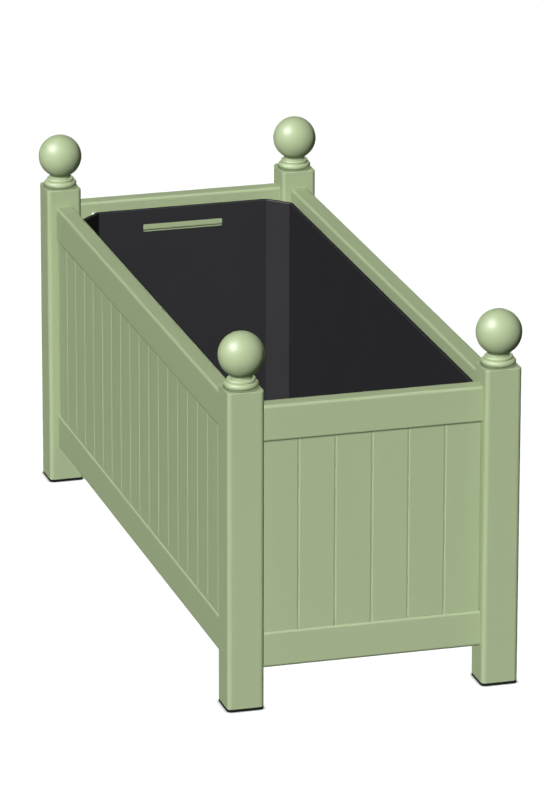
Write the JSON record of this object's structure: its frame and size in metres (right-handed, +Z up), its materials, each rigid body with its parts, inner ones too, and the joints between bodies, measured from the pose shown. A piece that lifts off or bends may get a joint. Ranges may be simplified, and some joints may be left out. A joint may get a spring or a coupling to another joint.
{
  "type": "versailles planter",
  "caption": "Long box planter: V-jointed boards between top and bottom rails, ball-topped corner posts on foot pads, and a dark liner with lifting slots that lifts out.",
  "frame": {"origin": "centre of the footprint, on the surface the planter stands on", "axes": "+X along the long side, +Y across the planter, +Z up; the front is the long side at -Y"},
  "size_m": [1.0114, 0.4114, 0.516],
  "materials": {
    "sage_coat": "satin sage-green powder coat on aluminium",
    "black_coat": "satin near-black powder coat on aluminium sheet",
    "pad_plastic": "matt black moulded nylon",
    "bare_aluminium": "bare mill finish",
    "stainless": "plain stainless fasteners"
  },
  "bodies": {
    "frame": {"post_front_left": "sage_coat", "post_front_right": "sage_coat", "post_back_left": "sage_coat", "post_back_right": "sage_coat", "post_cap_front_left": "sage_coat", "post_cap_front_right": "sage_coat", "post_cap_back_left": "sage_coat", "post_cap_back_right": "sage_coat", "finial_front_left": "sage_coat", "finial_front_right": "sage_coat", "finial_back_left": "sage_coat", "finial_back_right": "sage_coat", "foot_pad_front_left": "pad_plastic", "foot_pad_front_right": "pad_plastic", "foot_pad_back_left": "pad_plastic", "foot_pad_back_right": "pad_plastic", "top_rail_front": "sage_coat", "top_rail_back": "sage_coat", "top_rail_left": "sage_coat", "top_rail_right": "sage_coat", "bottom_rail_front": "sage_coat", "bottom_rail_back": "sage_coat", "bottom_rail_left": "sage_coat", "bottom_rail_right": "sage_coat", "left_board_1": "sage_coat", "left_board_2": "sage_coat", "left_board_3": "sage_coat", "left_board_4": "sage_coat", "left_board_5": "sage_coat", "left_board_6": "sage_coat", "right_board_1": "sage_coat", "right_board_2": "sage_coat", "right_board_3": "sage_coat", "right_board_4": "sage_coat", "right_board_5": "sage_coat", "right_board_6": "sage_coat", "front_boards": "sage_coat", "back_boards": "sage_coat", "bearer_1": "bare_aluminium", "bearer_2": "bare_aluminium", "bearer_3": "bare_aluminium", "bearer_4": "bare_aluminium", "bearer_cleats": "bare_aluminium", "cleat_screws": "stainless", "top_rail_spigots": "bare_aluminium", "bottom_rail_spigots": "bare_aluminium", "spigot_screws": "stainless", "rail_lock_screws": "stainless", "finial_studs": "stainless", "finial_washers": "stainless", "finial_nuts": "stainless"},
    "liner": {"liner": "black_coat"}
  },
  "joints": [
    {"name": "liner_lift", "type": "slide", "parent": "frame", "child": "liner", "axis": [0, 0, 1], "range_m": [0, 0.33]}
  ]
}
